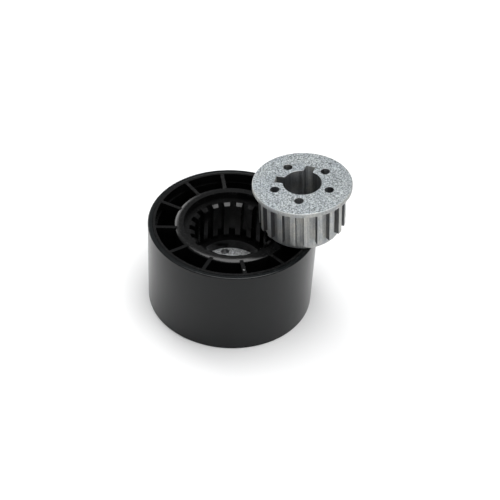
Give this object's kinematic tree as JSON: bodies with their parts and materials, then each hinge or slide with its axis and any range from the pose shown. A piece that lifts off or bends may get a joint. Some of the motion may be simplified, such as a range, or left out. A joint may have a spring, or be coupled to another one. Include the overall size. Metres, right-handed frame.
{
  "type": "roller shutter drive adapter",
  "caption": "Ribbed black plastic drum with a splined socket, its loose splined aluminium hub with a keyed bore, and the clamp plate under its web.",
  "frame": {"origin": "centre of the drum's base, on the drum's axis", "axes": "+Z is the drum's axis, from the base to the socketed top; +X points from the drum's axis to the loose hub that lies on the top"},
  "size_m": [0.1468, 0.125, 0.111],
  "materials": {
    "sleeve_plastic": "satin black moulded plastic, smooth",
    "core_plastic": "black moulded plastic, satin with a fine grain",
    "cast_aluminium": "cast and shot-blasted, fine bright grain",
    "plate_aluminium": "cast, fine bright grain"
  },
  "bodies": {
    "drum": {"core_rim": "core_plastic", "core_web": "core_plastic", "upper_socket": "core_plastic", "lower_socket": "core_plastic", "upper_ribs": "core_plastic", "lower_ribs": "core_plastic", "outer_sleeve": "sleeve_plastic"},
    "hub": {"splined_hub": "cast_aluminium"},
    "plate": {"clamp_plate": "plate_aluminium"}
  },
  "joints": [
    {"name": "hub_lift", "type": "slide", "parent": "drum", "child": "hub", "axis": [0, 0, 1], "range_m": [0, 0.05]},
    {"name": "plate_drop", "type": "slide", "parent": "drum", "child": "plate", "axis": [0, 0, -1], "range_m": [0, 0.024]}
  ]
}
